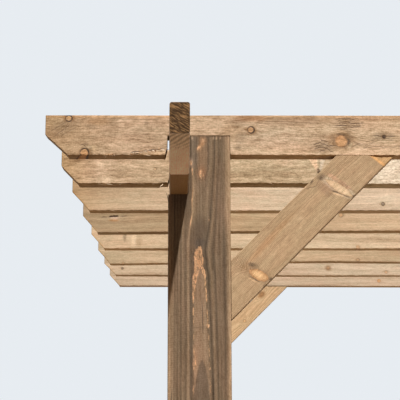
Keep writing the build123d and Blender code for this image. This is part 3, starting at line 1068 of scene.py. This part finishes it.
def first_rafter_marks(rafter):
    """Marks on the front rafter: a torn line with a bright sliver under it, wavy grain, smudges."""
    rafter.draw(
        (1.4, 0.75, 20, *TORN_LINE),
        (1.3, 0.2, 30, (95, 89.5), (150, 90.5), (220, 89), (296, 90)),
        (1.5, 0.55, 5, (84, 26), (94, 25), (104, 17)),
        (1.4, 0.45, 8, (18, 42), (40, 60), (62, 78)),
        (1.2, 0.35, 8, (10, 56), (30, 70), (56, 84)),
        (1.2, 0.3, 8, (32, 40), (56, 58), (78, 70)),
        (1.4, 0.34, 10, (738, 16), (760, 27), (785, 27), (814, 36)),
        (1.4, 0.55, 8, (712, 80), (731, 84), (752, 79), (780, 82)),
        (1.4, 0.55, 8, (705, 72), (728, 75), (750, 70), (774, 73)),
        (1.3, 0.45, 8, (714, 63), (735, 66), (758, 62)),
        (1.5, 0.6, 8, (650, 26), (668, 31), (690, 22), (706, 24)),
        (1.4, 0.55, 8, (650, 14), (672, 20), (698, 11)),
        (1.4, 0.4, 8, (797, 50), (815, 47), (832, 46), (858, 48)),
        (1.3, 0.4, 8, (792, 38), (812, 41), (834, 40), (850, 36)),
        (1.3, 0.4, 8, (700, 88), (730, 93), (770, 90)),
        (1.3, 0.45, 8, (656, 33), (674, 37), (694, 30)),
        (1.3, 0.45, 8, (664, 8), (684, 12), (704, 6)),
        (1.4, 0.35, 10, (770, 16), (800, 22), (840, 19), (880, 24)),
    )
    torn = np.interp(rafter.along / MM, *zip(*TORN_LINE))
    below = smooth(torn * MM - rafter.up, 0.2 * MM, 2.0 * MM) * (rafter.along > 0.2) * (rafter.along < 0.3)
    rafter.tint(rafter.front * below, (1.22, 1.2, 1.14))
    fringe = bump_at(rafter.up, (torn - 2.4) * MM, 2.2 * MM)
    fringe = fringe * (rafter.along > 0.205) * (rafter.along < 0.298)
    fringe = fringe * np.clip(0.75 + 0.6 * wander(rafter.along, 0.009, 92), 0.0, 1.0)
    rafter.cover(rafter.front * fringe, (0.80, 0.66, 0.50))
    rafter.cover(0.8 * rafter.patch(743, 24, 2.4, 10, -35), (0.74, 0.60, 0.42))
    rafter.mark_patches(
        FIGURE,
        (735, 78, 36, 16, 0, 1.0), (676, 21, 32, 18, 0, 1.0), (780, 88, 26, 9, 0, 0.5),
        (800, 30, 70, 18, 0, 0.5), (590, 82, 70, 12, 0, 0.45),
    )
    rafter.mark_patches(
        DARK,
        (678, 21, 30, 17, 0, 0.38), (735, 79, 34, 14, 0, 0.3), (650, 88, 16, 11, 0, 0.35),
        (590, 84, 58, 9, 0, 0.3), (740, 50, 6, 14, 20, 0.45), (723, 52, 15, 3.5, -6, 0.7),
        (738, 34, 4.5, 10, 0, 1.1), (746, 40, 4, 12, -30, 0.45), (756, 30, 12, 4, -20, 0.4),
        (731, 19, 5, 3, 45, 0.6), (701, 40, 4.5, 10, 10, 0.6), (470, 82, 26, 11, 0, 0.25),
        (474, 42, 12, 14, -30, 0.4), (469, 18, 7, 3, 10, 0.65), (825, 50, 25, 7, 0, 0.6),
        (247, 80, 6, 6, 0, 0.45), (233, 63, 6, 4, 0, 0.35), (114, 72, 12, 8, 0, 0.3),
        (195, 3, 8, 3, 0, 0.5), (45, 70, 36, 17, 25, 0.3), (100, 27, 6, 4, 0, 0.55),
        (113, 12, 4, 10, 20, 0.55), (150, 70, 26, 14, 0, 0.12), (270, 80, 22, 12, 0, 0.16),
        (200, 50, 60, 5, 0, 0.12),
    )
    rafter.mark_patches(
        HEART,
        (513, 84, 5, 13, 15, 0.45), (57, 90, 26, 4, 0, 0.4), (590, 84, 55, 8, 0, 0.22),
        (722, 54, 15, 5, 0, 0.3), (825, 49, 22, 6, 0, 0.42),
    )
    rafter.tint_patches(
        (117, 14, 6, 8, 0, 1.3, 1.32, 1.3),
        (722, 37, 30, 23, 0, 0.86, 0.77, 0.66),
        (57, 92, 6, 6, 0, 1.35, 1.25, 1.05),
        (505, 91, 40, 6, 0, 0.95, 0.82, 0.72),
        (130, 84, 26, 10, 0, 0.93, 0.85, 0.76),
        (455, 60, 26, 26, 0, 0.93, 0.89, 0.84),
        (350, 60, 60, 20, 0, 1.06, 1.07, 1.08),
        (570, 45, 70, 22, 0, 1.06, 1.08, 1.12),
    )

    # Its upper arris gets a painted highlight, with a broken reddish line under it
    rafter.tint(smooth(rafter.up, 94 * MM, 97 * MM) * smooth(rafter.out, 6 * MM, 3 * MM), (1.12, 1.04, 0.94))
    under_arris = bump_at(rafter.up, 91 * MM, 1.8 * MM) * np.clip(wander(rafter.along, 0.13, 91), 0.0, 1.0)
    left, beyond = smooth(rafter.along, 0.4, 0.3), smooth(rafter.along, 0.44, 0.48)
    for weight, shade in (
        (under_arris, (0.84, 0.66, 0.52)),
        (beyond * smooth(rafter.up, 20 * MM, 4 * MM), (1.14, 1.14, 1.14)),
        (beyond * smooth(rafter.up, 76 * MM, 92 * MM), (0.84, 0.78, 0.72)),
        (left * smooth(rafter.up, 88 * MM, 95 * MM), (1.05, 1.0, 0.95)),
    ):
        rafter.tint(rafter.front * weight, shade)


def second_rafter_marks(rafter):
    """Marks on the second rafter: a pale patch near its left end, and a wedge of pinkish heartwood."""
    pale = smooth(rafter.along, 0.093, 0.101) * smooth(rafter.along, 0.144, 0.136)
    rafter.tint(rafter.front * pale, (1.13, 1.16, 1.2))
    for lefts, rights, shade in (WEDGE, SLIVER):
        left, right = (np.interp(rafter.up / MM, WEDGE_HEIGHTS, edge) for edge in (lefts, rights))
        inside = smooth(np.minimum(rafter.along / MM - left, right - rafter.along / MM), -0.8, 1.6)
        rafter.cover(rafter.front * inside * (rafter.up > 32 * MM), shade)
    rafter.tint_patches(
        (107, 61, 14, 11, 0, 1.15, 1.16, 1.18),
        (123, 13, 12, 10, 0, 1.15, 1.16, 1.18),
        (614, 66, 24, 14, 0, 1.16, 1.17, 1.22),
        (555, 30, 110, 9, 0, 0.86, 0.83, 0.8),
    )
    rafter.mark_patches(
        DARK,
        (704, 35, 10, 5, -60, 1.6), (703, 39, 9, 2.2, -82, 1.5), (705.5, 60, 13, 1.6, -84, 0.5),
        (560, 45, 100, 3, 0, 0.15),
    )
    rafter.draw((1.5, 0.4, 8, (258, 9), (275, 4), (292, 1)), (3.0, 1.0, 8, (702, 40), (705, 35)))


def far_rafter_marks(rafter, number):
    """Marks on the rafters behind: a warm edge of painted bounce light along each splay, and a knot and
    smudges on three of them.
    """
    # Painted bounce light: a warm strip of the front face along each splay
    edge = smooth(rafter.up - rafter.foot, 8 * MM, 3 * MM) * rafter.at_ends() * (rafter.foot > LEVEL_FOOT)
    rafter.tint(rafter.front * edge, (1.06, 0.96, 0.8))
    if number == 4:
        rafter.cover(rafter.patch(107, 45.5, 14, 4.5, -3), (0.60, 0.40, 0.265))
        rafter.draw(
            (3.2, 1.3, 8, (84, 48.5), (93, 50), (104, 51.5), (121, 50)),
            (2.4, 1.0, 8, (91, 48), (95, 44), (101, 41)),
            (2.6, 0.45, 8, (58, 48), (84, 48.5)),
            (2.4, 0.4, 8, (121, 50), (150, 52)),
        )
        rafter.tint_patches((104, 38, 16, 3, 0, 1.1, 0.86, 0.66))
    if number == 5:
        rafter.mark_patches(DARK, (121, 42, 5.5, 17, 0, 0.75), (63, 29, 8, 6, 0, 0.3))
        rafter.tint_patches((153, 34, 8, 24, -8, 1.22, 1.26, 1.3), (172, 24, 10, 20, 0, 0.84, 0.8, 0.76))
    if number == 7:
        rafter.tint_patches((926, 31, 13, 12, 0, 0.66, 0.54, 0.44))


def rafters():
    """Eight rafters from front to rear, each with its own tone, knots, bow and torn lower arris."""
    for number, look in RAFTERS.items():
        node = f"rafter_{number}"
        low, _ = node_box(node)
        origin = (-RAFTER_HALF, low[1], RAFTER_FOOT)
        axes = np.eye(3)
        size = (RAFTER_THICKNESS, RAFTER_DEPTH)
        rows = rafter_rows(number)
        inner = (6, 36) if look.step < 5 else (5, 20)
        seed = rafter_seed(number)
        rafter = Timber(node, "rafter_timber", origin, axes, size, rows, RAFTER_ARRIS, inner, seed, look.pith)
        rafter.paint(*look.tones, (2.0, *look.tones[1][1:]), (3.0, *look.tones[0][1:]))
        # Painted shade and bounce light on the underside, and a top greyed by sun and rain and darkened
        # against the lamp
        rafter.paint_light_under_and_top(look.under * np.array((0.82, 0.76, 0.60)), (0.70, 0.725, 0.76))
        for place, height, radius, bark, core, *more in look.knots:
            start, lean = more or (look.pith[0], 0.1)
            start, target = (start * MM, height * MM), (0.0, height * MM)
            rafter.knots.append((place * MM, target, radius * MM, (bark, core), lean, start))
        random_knots(rafter, 6, 1.35, 2.9, (4 * MM, 12 * MM), ("front", "back", "front", "over"))
        rafter.cut = np.where(rafter.cut_under(1.5 * MM), 0.25, rafter.cut)
        places, lifts = np.array(look.lifts).T * MM
        rafter.lift(places, lifts)
        rafter.skew(look.splay[3] * MM)
        rafter.tear(0.8 * MM, 0.03, 2.2 * MM if number == 2 else 0.0)
        rafter.moved[1] += rafter_bow(rafter.along, rafter.length, number)
        if number == 1:
            first_rafter_marks(rafter)
        elif number == 2:
            second_rafter_marks(rafter)
        else:
            rafter.finish = "smooth_rafter_timber"
            far_rafter_marks(rafter, number)
        rafter.build()


# Braces
BRACE_TONE = np.array((0.525, 0.348, 0.196))
FAR_BRACE_TONE = (0.64, 0.43, 0.24)
# Braces in the planes of the beams take the brace tone darkened by painted shade
BEAM_BRACE_PAINTED_SHADE = 0.7
NEAR_BRACE_PITH = (4, 112)


def brace_rows(leg, step):
    """Stations of a brace: square to it lie the lower edge, from 0 to its full length, and the upper one."""
    length, slant = leg * DIAGONAL, END_EASE * DIAGONAL
    breaks = [(0.0, BRACE_DEPTH, 0.0), (slant, BRACE_DEPTH + slant, 0.0)]
    breaks += [(length - slant, length - BRACE_DEPTH - slant, 0.0), (length, length - BRACE_DEPTH, 0.0)]
    return station_rows(breaks, step)


def near_brace_marks(brace):
    """Marks on the near brace: a spike knot across it, an oval knot, streaks and smudges."""
    brace.lenses = [
        (410.5, 39.5, 42, 11, -78, (0.2, 0.5), True),
        (122, 28.8, 25.5, 12.3, -71.5, (0.2, 1.0), False),
    ]
    brace.mark_patches(FIGURE, (470, 60, 50, 45, 0, 0.35), (112, 70, 24, 34, 0, 0.4))
    brace.mark_patches(
        HEART,
        (423, 50, 46, 7, -80, 0.62), (203, 71, 80, 5, 2.6, 0.38), (112, 82, 20, 22, 0, 0.34),
        (403, 86, 10, 9, 0, 0.4),
    )
    brace.mark_patches(
        DARK,
        (397, 88, 5, 5, 0, 1.5), (400, 90, 11, 8, -40, 0.7), (376, 98, 8, 3, 20, 0.9),
        (421, -1, 5, 4, -71, 1.2), (401, 32, 20, 1.7, -67, 1.3), (409, 12, 9, 1.5, -67, 1.1),
        (428, 26, 20, 1.4, -86, 0.7), (129, 56, 13, 5.5, -58, 0.9), (107.5, 30, 13, 1.8, -75, 1.0),
        (135, 3, 5, 3.5, -40, 1.2), (114, 2, 5, 3, 0, 0.8), (386, 52, 10, 20, 0, 0.25),
        (112, 80, 20, 24, 20, 0.2),
    )
    brace.tint_patches((397, 31, 19, 2.2, -63, 1.5, 1.5, 1.5))
    brace.cover(brace.patch(410.5, 39.5, 42, 11, -78), (0.85, 0.66, 0.46))
    brace.tint_patches(
        (104, 30, 14, 2.2, -72, 1.35, 1.33, 1.3),
        (388, 66, 14, 22, 0, 0.95, 0.9, 0.92),
        (289, 52, 9, 7, 0, 1.15, 1.2, 1.25),
        (203, 71, 85, 8, 2.6, 0.95, 0.86, 0.78),
    )
    brace.draw((1.3, 0.4, 8, (350, 96), (375, 82), (394, 90)), (4.0, 1.1, 8, (395, 86), (400, 90)))


def split_corner(brace, leg):
    """Split off the corner of the near brace.

    In the triangle of the split corner the front face is pressed in by the depth of the split, and what lay
    behind it is squeezed towards the back. The wall of the split slants gently.
    """
    width, height, deep = CHIP
    from_toe = leg - (brace.along - brace.up) / DIAGONAL
    from_top = leg - (brace.along + brace.up) / DIAGONAL
    edge = (width - from_toe) * height - from_top * (width - height)
    edge = edge / np.hypot(height, width - height)
    pressed = deep * np.clip(edge / (9 * MM), 0.0, 1.0) ** 0.8
    brace.moved[1] += pressed * (brace.thickness - brace.out) / brace.thickness
    wall = smooth(edge, 0.0, 1.5 * MM) * smooth(edge, 11 * MM, 8 * MM)
    brace.tint(brace.front * wall, (1.4, 1.12, 0.78))
    brace.tint(brace.front * smooth(edge, 8 * MM, 11 * MM), (1.32, 1.2, 1.0))
    brace.mark(DARK, 0.55 * brace.front * bump_at(edge, 0.0, 1.6 * MM))
    brace.mark(DARK, 0.3 * brace.front * bump_at(edge, 10 * MM, 1.5 * MM))


def braces():
    """Eight knee braces: four in the planes of the end rafters and four in the planes of the beams."""
    upwards = np.array((0.0, 0.0, 1.0))
    for number, (kind, (side_x, side_y, corner)) in enumerate(product(("rafter", "beam"), CORNERS), start=1):
        node = f"{kind}_brace_{corner}"
        low, high = node_box(node)
        leg = high[2] - low[2]
        if kind == "rafter":
            tone = BRACE_TONE
            inwards = np.array((-side_x, 0.0, 0.0))
            across = (0.0, 1.0, 0.0)
            origin = (side_x * POST_INNER, low[1], low[2])
        else:
            # Painted shade: a darker copy of the brace tone
            tone = BEAM_BRACE_PAINTED_SHADE * BRACE_TONE
            inwards = np.array((0.0, -side_y, 0.0))
            across = (-side_x, 0.0, 0.0)
            origin = (side_x * BEAM_OUTER, side_y * POST_INNER, low[2])
        axes = ((inwards + upwards) / DIAGONAL, across, (upwards - inwards) / DIAGONAL)
        near = node == "rafter_brace_front_left"
        far = node == "rafter_brace_rear_left"
        rows = brace_rows(leg, 2.2 * MM if near else 10 * MM)
        inner = (8, 44) if near else (6, 16)
        size = (BRACE_THICKNESS, BRACE_DEPTH)
        seed = 300 + 7 * number
        pith = NEAR_BRACE_PITH if near else (85, 20 * (number % 5))
        brace = Timber(node, "brace_timber", origin, axes, size, rows, BRACE_ARRIS, inner, seed, pith)
        brace.paint((0.0, *(FAR_BRACE_TONE if far else tone)))
        if near:
            near_brace_marks(brace)
            split_corner(brace, leg)
        elif far:
            brace.knots.append((0.3675, (0.0, 55 * MM), 9 * MM, (0.3, -0.15), 0.1, None))
            brace.knots.append((0.2305, (0.0, 27 * MM), 6 * MM, (0.4, 0.8), 0.1, None))
            brace.tint_patches((367.5, 55, 16, 11, 0, 0.78, 0.60, 0.46))
        else:
            random_knots(brace, 2, 0.14, leg * 1.15, (6 * MM, 13 * MM), ("front", "back"))
        brace.build()


# Small pieces
SCREW_RADIUS = 5.2 * MM
SOCKET_RADIUS = 2.3 * MM
SOCKET_DEPTH = 2.2 * MM
SCREW_PROUD = 0.25 * MM

# Where screws go: into a post from its outer side and from the shoulder up, and along a brace in parts
SCREW_INSETS = (35 * MM, 115 * MM)
SCREW_HEIGHTS = (35 * MM, 108 * MM)
BRACE_SCREWS = (0.12, 0.88)


def screw_frames():
    """Middles and outward directions of the screw heads.

    Four go through each beam into each post, one down through each rafter into each beam, and one through
    the lower edge of each brace near either end.
    """
    frames = []
    for side_x, _ in HANDS:
        for side_y, inset, height in product((-1, 1), SCREW_INSETS, SCREW_HEIGHTS):
            middle = (side_x * BEAM_OUTER, side_y * (POST_OUTER - inset), SHOULDER + height)
            frames.append((middle, (side_x, 0.0, 0.0)))
        for number in RAFTERS:
            low, high = node_box(f"rafter_{number}")
            middle = (side_x * (BEAM_OUTER + BEAM_INNER) / 2.0, (low[1] + high[1]) / 2.0, high[2])
            frames.append((middle, (0.0, 0.0, 1.0)))
    for node, part in product(BRACES, BRACE_SCREWS):
        low, high = node_box(node)
        reach = part * (high[2] - low[2])
        axis, first = (0, "left") if node.startswith("rafter") else (1, "front")
        side = -1 if first in node else 1
        middle = (low + high) / 2.0
        middle[axis] = side * (POST_INNER - reach)
        middle[2] = low[2] + reach
        outwards = np.array((0.0, 0.0, -1.0))
        outwards[axis] = -side
        frames.append((middle, outwards))
    return frames


def screws():
    """Countersunk screw heads, all joined in one mesh.

    A head is its profile turned about its axis: from the floor of the driver's socket up its wall, over the
    flat rim and down into the timber. The socket is a star: its radius swells and shrinks six times a turn.
    """
    angles = np.linspace(0.0, 2.0 * np.pi, 24, endpoint=False)
    flat = np.ones(len(angles))
    star = 1.0 + 0.16 * np.cos(6.0 * angles)
    profile = (
        (0.12 * SOCKET_RADIUS * flat, -SOCKET_DEPTH),
        (0.9 * SOCKET_RADIUS * star, -SOCKET_DEPTH),
        (SOCKET_RADIUS * star, SCREW_PROUD),
        (0.96 * SCREW_RADIUS * flat, SCREW_PROUD),
        (SCREW_RADIUS * flat, 0.4 * SCREW_PROUD),
        (0.93 * SCREW_RADIUS * flat, -1 * MM),
    )
    rings = [np.stack([r * np.cos(angles), r * np.sin(angles), flat * z], axis=1) for r, z in profile]
    head = np.concatenate(rings)
    number = np.arange(len(head)).reshape(-1, len(angles))
    quarter = np.arange(0, len(angles) - 2, 2)
    cap = np.stack([0 * quarter, quarter + 1, quarter + 2, (quarter + 3) % len(angles)], axis=1)
    sides = tube_faces(number)[:, [0, 3, 2, 1]]
    faces = np.concatenate([sides, cap, (cap + number[-1, 0])[:, ::-1]])
    points, all_faces = [], []
    for placed, (middle, outwards) in enumerate(screw_frames()):
        ahead = unit(np.array(outwards))
        side = unit(np.cross(ahead, (0.36, 0.48, 0.8)))
        points.append(np.array(middle) + head @ np.stack([side, np.cross(ahead, side), ahead]))
        all_faces.append(faces + placed * len(head))
    small_piece("screw_heads", np.concatenate(points), np.concatenate(all_faces), {}, "fixings")


# Stretches of the rafters with splinters, clear of the beams
BEFORE_BEAM = (0.1, 0.28)
BETWEEN_BEAMS = (0.48, 2.52)


def splinters(name, slot, tone, starts, runs, droops, lengths, widths):
    """Thin splinters that lift off a timber, all joined in one mesh.

    A splinter's middle line starts in the timber and runs straight on, and droops by the square of the way.
    Its section is a flat diamond that narrows to a point.
    """
    part = np.linspace(0.0, 1.0, 6)
    side, flat = unit(np.cross(droops, runs)), unit(droops)
    middle = starts[:, None] + runs[:, None] * lengths[:, None, None] * part[None, :, None]
    middle = middle + droops[:, None] * (part**2)[None, :, None]
    thinning = (1.0 - 0.97 * part**1.6)[None, :, None, None]
    corners = np.stack([side, 0.35 * flat, -side, -0.35 * flat], axis=1)
    points = middle[:, :, None] + corners[:, None] * widths[:, None, None, None] / 2.0 * thinning
    points = points.reshape(-1, 3)
    number = np.arange(len(points)).reshape(-1, 6, 4)
    faces = np.concatenate([tube_faces(number), number[:, 0, ::-1], number[:, -1]])
    values = {**PLAIN_FIELDS, "tone": tone}
    fields = {field: np.tile(value, (len(points), 1)) for field, value in values.items()}
    small_piece(name, points, faces, {"grain": points, **fields}, slot)


def torn_edges():
    """Splinters along the lower front arrises of the rafters, and a sliver peeled off the near post."""
    random = np.random.default_rng(77)
    starts = []
    for number, look in RAFTERS.items():
        low, _ = node_box(f"rafter_{number}")
        count = 46 if number < 3 else 26
        overhang = random.uniform(*BEFORE_BEAM, count // 4)
        places = np.concatenate([overhang, random.uniform(*BETWEEN_BEAMS, count)])
        back = random.uniform(0.3, 2.5, len(places)) * MM + rafter_bow(places, 2.0 * RAFTER_HALF, number)
        height = RAFTER_FOOT + np.interp(places / MM, *zip(*look.lifts)) * MM + 1.0 * MM
        starts.append(np.stack([places - RAFTER_HALF, low[1] + back, height], axis=1))
    starts = np.concatenate(starts)
    count = len(starts)
    forward = np.where(random.uniform(size=count) < 0.5, 1.0, -1.0)
    runs = np.stack([forward, random.uniform(-0.12, 0.05, count), random.uniform(-0.2, -0.05, count)], axis=1)
    sideways, down = random.uniform(-1.0, 1.0, count), -random.uniform(0.5, 2.5, count)
    droops = np.stack([0.0 * down, sideways, down], axis=1) * MM
    lengths = random.uniform(6, 17, count) * MM
    widths = random.uniform(1.0, 2.4, count) * MM

    # A long one hangs from the second rafter, beside the post
    starts[0] = (279 * MM - RAFTER_HALF, node_box("rafter_2")[0][1] + 0.5 * MM, RAFTER_FOOT + 4 * MM)
    runs[0] = (-0.66, -0.1, -0.7)
    droops[0] = (-1.0 * MM, -0.5 * MM, -1.0 * MM)
    lengths[0], widths[0] = 12 * MM, 2.8 * MM
    splinters("rafter_splinters", "rafter_timber", (0.74, 0.56, 0.38), starts, runs, droops, lengths, widths)

    # Tufts along the torn line of the front rafter and where its lower arris is bruised
    count = 60
    places = np.concatenate([random.uniform(205, 298, 42), random.uniform(140, 172, 18)])
    heights = np.interp(places, (140, 172, 205, 222, 255, 296), (1, 4, 4, 7.5, 12, 16.5))
    heights = heights + random.uniform(-1.6, 0.6, count) * np.where(places < 200, 2.0, 1.0)
    back = RAFTER_LOW[1] + rafter_bow(places * MM, 2.0 * RAFTER_HALF, 1) + 0.4 * MM
    starts = np.stack([places * MM - RAFTER_HALF, back, heights * MM + RAFTER_FOOT], axis=1)
    turn = random.uniform(-0.9, 0.3, count)
    runs = np.stack([np.cos(turn), np.full(count, -0.22), np.sin(turn)], axis=1)
    ahead, down = random.uniform(-0.8, 0.2, count), random.uniform(-1.6, -0.4, count)
    droops = np.stack([0.0 * down, ahead, down], axis=1) * MM
    lengths = random.uniform(3.5, 8.5, count) * MM
    widths = random.uniform(1.2, 2.6, count) * MM
    splinters("rafter_tufts", "rafter_timber", (0.86, 0.68, 0.5), starts, runs, droops, lengths, widths)

    starts = np.array([[1.0, 6.0, 2235.5], [1.0, 14.0, 2190.0]]) * MM + (POST_LOW[0], POST_LOW[1], 0.0)
    runs = np.array([[-0.06, 0.0, 1.0], [-0.03, 0.05, 1.0]])
    droops = np.array([[-5.5, -1.0, 0.0], [-2.0, 0.5, 0.0]]) * MM
    lengths, widths = np.array([27, 22]) * MM, np.array([8.0, 3.0]) * MM
    splinters("post_sliver", "post_timber", (0.24, 0.16, 0.10), starts, runs, droops, lengths, widths)


# Stage, lamp and camera
def stage():
    """A plain pale floor that runs out into the backdrop, and the sky of the studio."""
    f = Finish(bpy.data.materials.new("floor_paper"))
    seen = f.seen_directly()
    bounce = f.node("ShaderNodeBsdfDiffuse", {"Color": FLOOR_BOUNCE})
    paper = f.node("ShaderNodeBsdfDiffuse", {"Color": FLOOR_SEEN})
    beyond = f.node("ShaderNodeEmission", {"Color": BACKDROP, "Strength": 1.0})
    far = f.step(f.length(f.node("ShaderNodeTexCoord", {}, "Object")), *FLOOR_FADE)
    pale = f.node("ShaderNodeMixShader", {0: far, 1: paper, 2: beyond})
    paper = f.finish(f.node("ShaderNodeMixShader", {0: seen, 1: bounce, 2: pale}))
    points = [(across, back, 0.0) for back, across in product((-FLOOR_HALF, FLOOR_HALF), repeat=2)]
    floor = mesh_piece("floor", points, np.array([[0, 1, 3, 2]]), {}, paper)

    # The sky is darker in front, so that shade on the front faces is as deep as under a high sun
    f = Finish(bpy.data.worlds.new("studio"))
    seen = f.seen_directly()
    _, depth, _ = f.split(f.node("ShaderNodeTexCoord", {}, "Generated"))
    ends = enumerate((depth, *SKY_TURNS, SKY_IN_FRONT, SKY_STRENGTH))
    strength = f.node("ShaderNodeMapRange", dict(ends), interpolation_type="SMOOTHSTEP")
    sky = f.node("ShaderNodeBackground", {"Color": SKY_TINT, "Strength": strength})
    drop = f.node("ShaderNodeBackground", {"Color": BACKDROP, "Strength": 1.0})
    shader = f.node("ShaderNodeMixShader", {0: seen, 1: sky, 2: drop})
    bpy.context.scene.world = f.finish(shader, "ShaderNodeOutputWorld")


def facing(forward, level):
    """A rotation whose own -Z looks along forward and whose own X is the level direction."""
    forward = unit(np.array(forward))
    return Matrix(np.stack([level, np.cross(level, forward), -forward], axis=1).tolist())


def key_lamp():
    """A sun lamp from the upper right in front."""
    data = bpy.data.lights.new("key", "SUN")
    data.energy = KEY_STRENGTH
    data.color = KEY_TINT
    data.angle = np.radians(KEY_SPREAD_DEG)
    lamp = bpy.data.objects.new("key", data)
    level = unit(np.cross(KEY_TRAVEL, (0.0, 0.0, 1.0)))
    lamp.matrix_world = facing(KEY_TRAVEL, level).to_4x4()
    bpy.context.scene.collection.objects.link(lamp)


def camera():
    """The camera turned up by its pitch, to the right by its yaw, and rolled about its own view."""
    pitch, yaw, roll = np.radians((CAMERA_UP_DEG, CAMERA_RIGHT_DEG, CAMERA_ROLL_DEG))
    forward = np.array((np.sin(yaw) * np.cos(pitch), np.cos(yaw) * np.cos(pitch), np.sin(pitch)))
    right = np.array((np.cos(yaw), -np.sin(yaw), 0.0))
    level = np.cos(roll) * right + np.sin(roll) * np.cross(right, forward)
    data = bpy.data.cameras.new("camera")
    data.lens = LENS_MM
    data.sensor_width = SENSOR_MM
    holder = bpy.data.objects.new("camera", data)
    holder.matrix_world = Matrix.Translation(CAMERA_AT) @ facing(forward, level).to_4x4()
    bpy.context.scene.collection.objects.link(holder)
    bpy.context.scene.camera = holder


bpy.context.scene.view_settings.view_transform = "Standard"
camera()
key_lamp()
stage()
posts()
beams()
rafters()
braces()
screws()
torn_edges()
